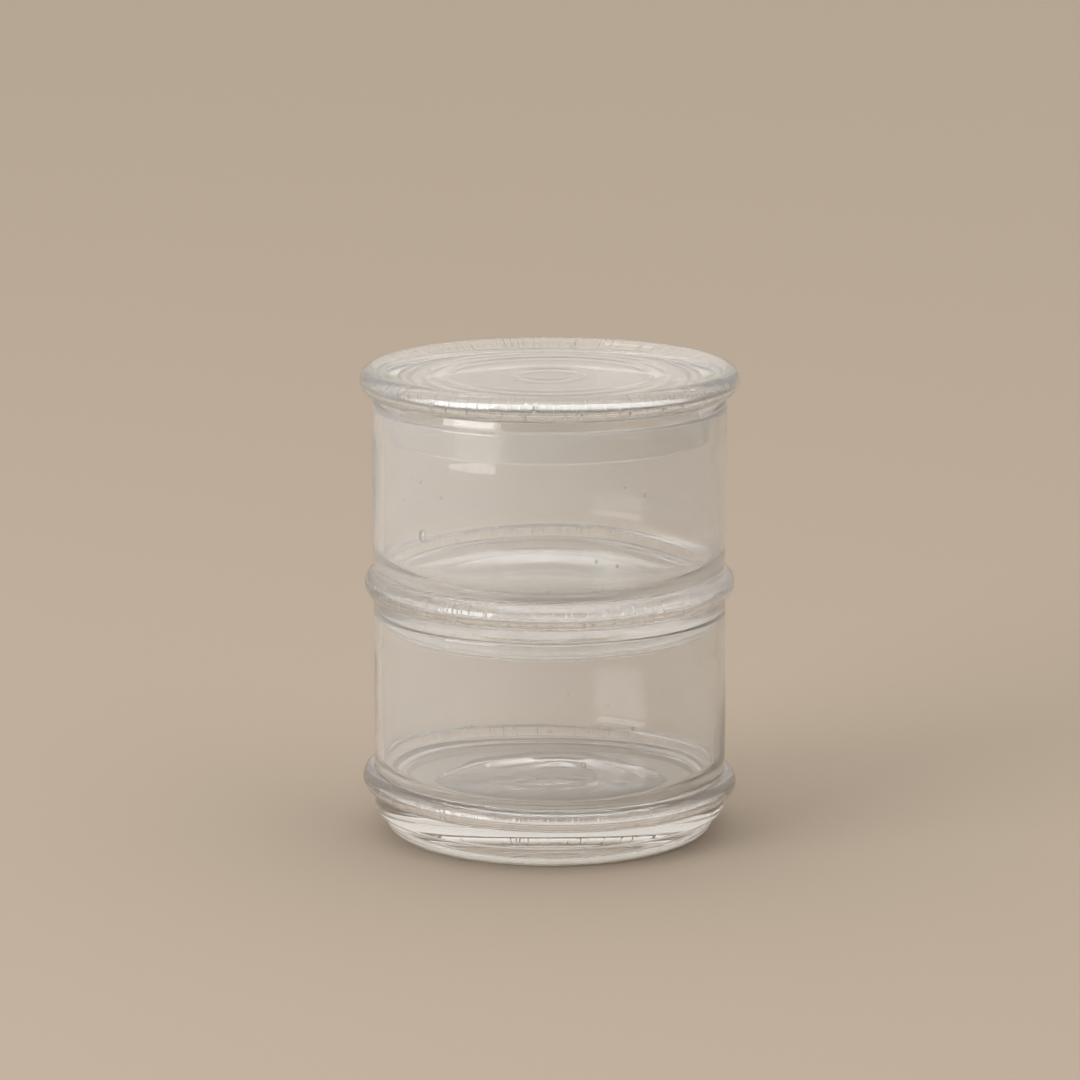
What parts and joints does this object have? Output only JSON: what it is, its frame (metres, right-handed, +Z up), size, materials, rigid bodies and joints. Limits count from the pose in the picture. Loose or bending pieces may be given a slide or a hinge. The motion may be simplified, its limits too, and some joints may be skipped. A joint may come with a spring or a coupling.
{
  "type": "herb keeper",
  "caption": "Stack of round clear glass jars, each with a rounded ring and a narrower foot that stands in the mouth below, under a lift-off glass lid with a thick rim.",
  "frame": {"origin": "centre of the lower jar's foot, on the surface that the keeper stands on", "axes": "+Z up along the common axis of jars and lid; the pictured side faces -Y, +X to its right"},
  "size_m": [0.0968, 0.0968, 0.12],
  "materials": {
    "clear_glass": "clear, slightly wavy moulded glass with a few seeds, fire-polished edges"
  },
  "bodies": {
    "lower_jar": {"lower_jar": "clear_glass"},
    "upper_jar": {"upper_jar": "clear_glass"},
    "lid": {"lid": "clear_glass"}
  },
  "joints": [
    {"name": "upper_jar_lift", "type": "slide", "parent": "lower_jar", "child": "upper_jar", "axis": [0, 0, 1], "range_m": [0, 0.08]},
    {"name": "lid_lift", "type": "slide", "parent": "upper_jar", "child": "lid", "axis": [0, 0, 1], "range_m": [0, 0.08]}
  ]
}
